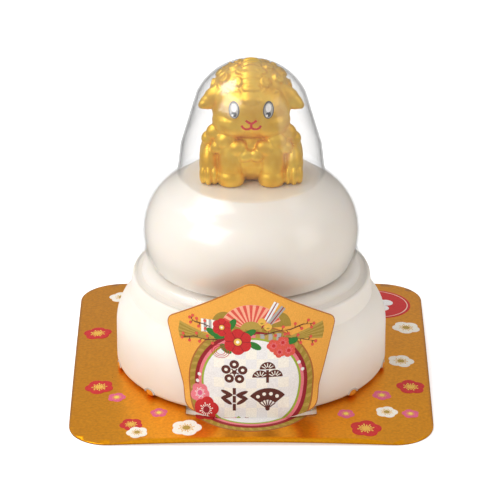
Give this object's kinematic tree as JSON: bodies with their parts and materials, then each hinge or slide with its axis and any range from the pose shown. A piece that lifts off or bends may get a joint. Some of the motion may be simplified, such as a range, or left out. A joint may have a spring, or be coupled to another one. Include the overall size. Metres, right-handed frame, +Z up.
{
  "type": "kagami mochi pack",
  "caption": "New Year rice-cake pack: stacked rounded white tiers on a folded gold card, under a clear cover with a gold sheep figure.",
  "frame": {"origin": "centre of the outline's base on the table, below the middle of the card", "axes": "+Z up, -Y towards the front with the folded flap, +X to the right seen from the front"},
  "size_m": [0.1146, 0.1178, 0.1055],
  "materials": {
    "gold_card": "satin gold foil card with printed plum blossoms",
    "rice_cake": "milky white rice cake in its moulded skin",
    "clear_plastic": "thin clear moulded plastic",
    "gold_figure": "satin gold paint on moulded plastic"
  },
  "bodies": {
    "root": {"base_card": "gold_card", "lower_cake": "rice_cake", "upper_cake": "rice_cake", "clear_cover": "clear_plastic", "sheep_figure": "gold_figure"}
  },
  "joints": []
}
